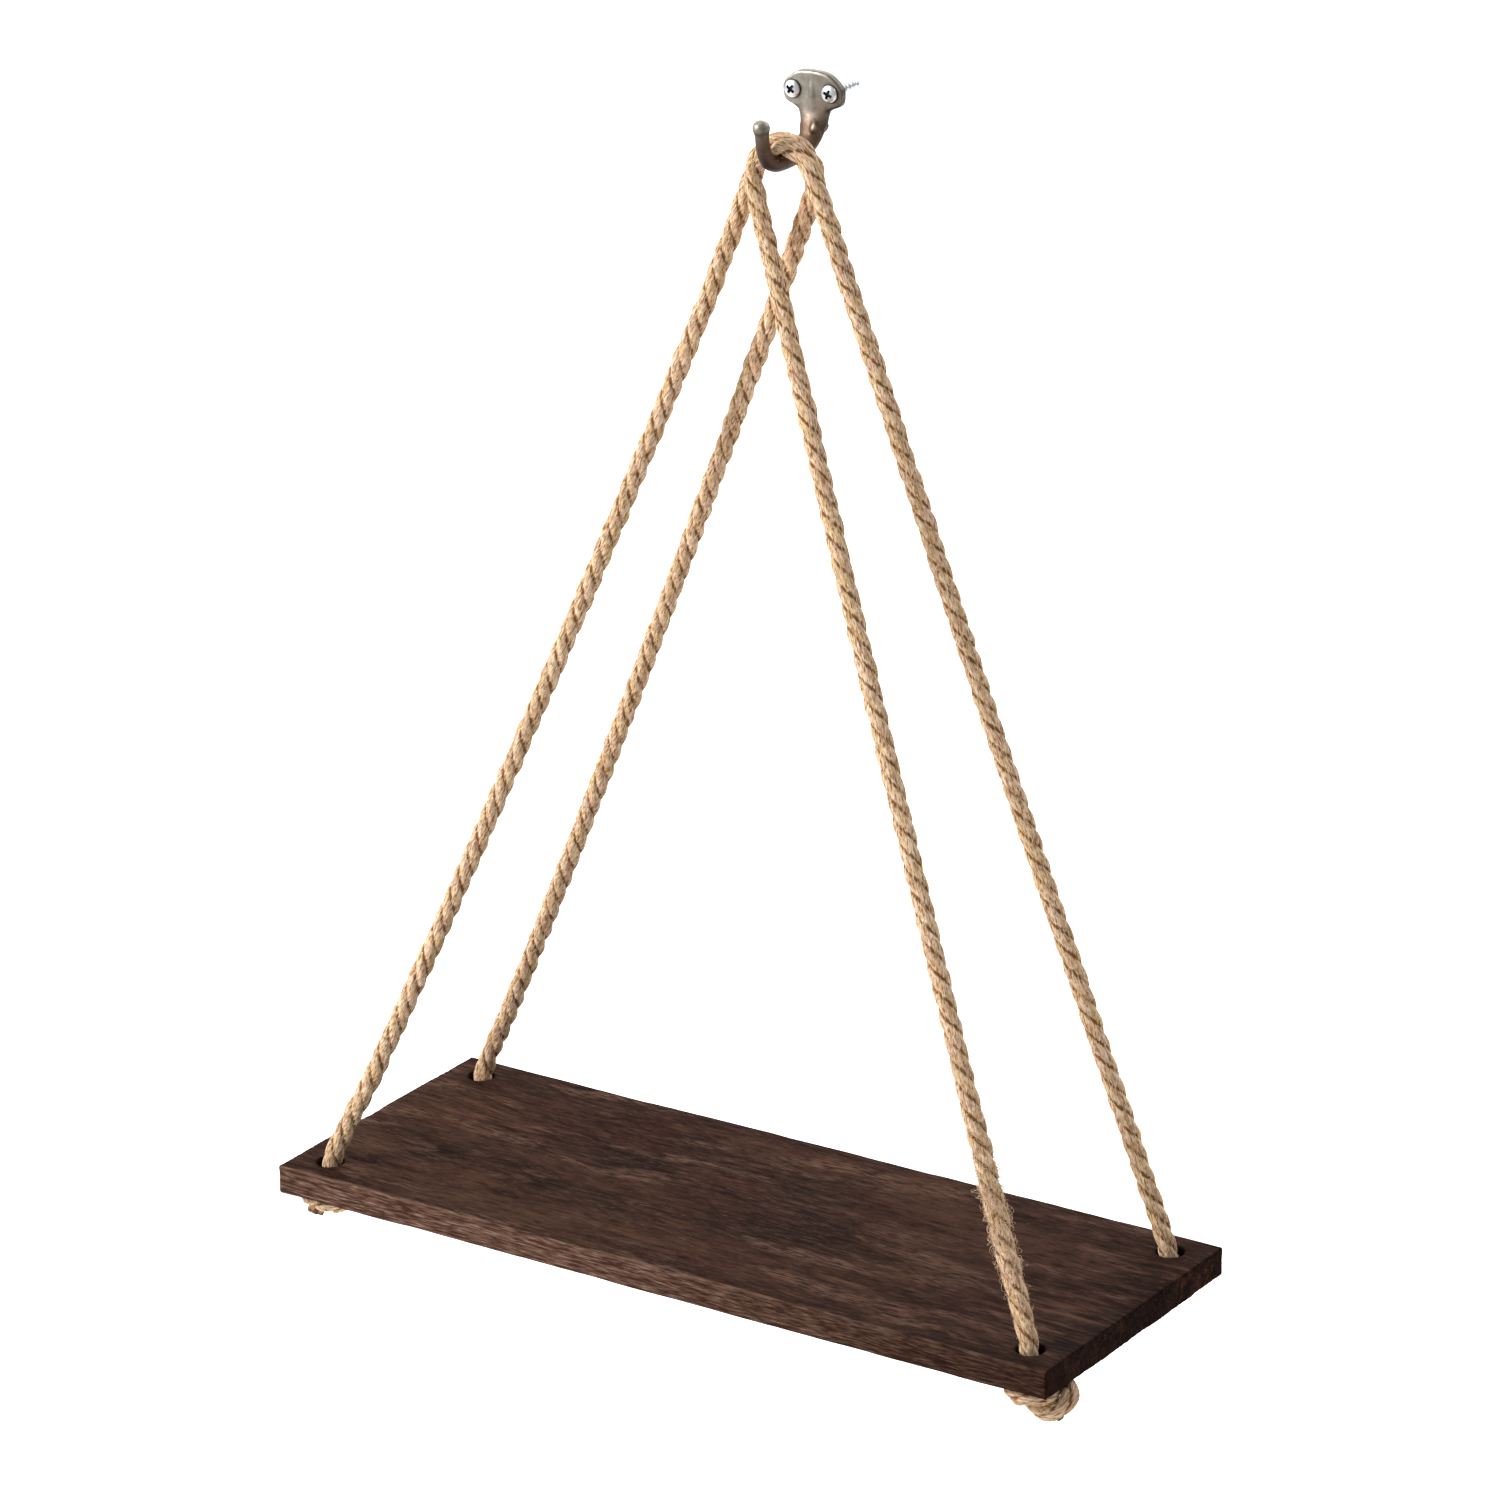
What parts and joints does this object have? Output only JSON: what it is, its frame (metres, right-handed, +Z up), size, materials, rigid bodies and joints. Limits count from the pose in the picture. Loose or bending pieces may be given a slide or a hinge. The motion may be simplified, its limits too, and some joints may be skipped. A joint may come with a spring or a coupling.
{
  "type": "hanging rope shelf",
  "caption": "Narrow dark wooden shelf board hung level on ropes that loop over one cast wall hook, knotted under its corner holes.",
  "frame": {"origin": "on the wall, midway between the hook's two screws", "axes": "+X to the right along the wall, +Y into the wall, +Z up"},
  "size_m": [0.4345, 0.1762, 0.5667],
  "materials": {
    "walnut_stain": "dark brown stain, open grain, matte",
    "jute_rope": "natural three-strand jute, matte and hairy",
    "aged_pewter": "cast, grey-brown pewter colour, satin",
    "bright_steel": "bright zinc plate"
  },
  "bodies": {
    "wall_hook": {"wall_hook": "aged_pewter", "left_hook_screw": "bright_steel", "right_hook_screw": "bright_steel"},
    "rope_loops": {"left_rope_loop": "jute_rope", "right_rope_loop": "jute_rope"},
    "hanging_shelf": {"shelf_board": "walnut_stain", "front_left_rope": "jute_rope", "back_left_rope": "jute_rope", "front_right_rope": "jute_rope", "back_right_rope": "jute_rope", "front_left_knot": "jute_rope", "back_left_knot": "jute_rope", "front_right_knot": "jute_rope", "back_right_knot": "jute_rope"}
  },
  "joints": [
    {"name": "side_swing", "type": "hinge", "parent": "wall_hook", "child": "rope_loops", "pos_m": [0, -0.02848, -0.02769], "axis": [0, 1, 0], "range_deg": [-20, 20]},
    {"name": "swing_out", "type": "hinge", "parent": "rope_loops", "child": "hanging_shelf", "pos_m": [0, -0.02848, -0.02769], "axis": [-1, 0, 0], "range_deg": [0, 30]}
  ]
}
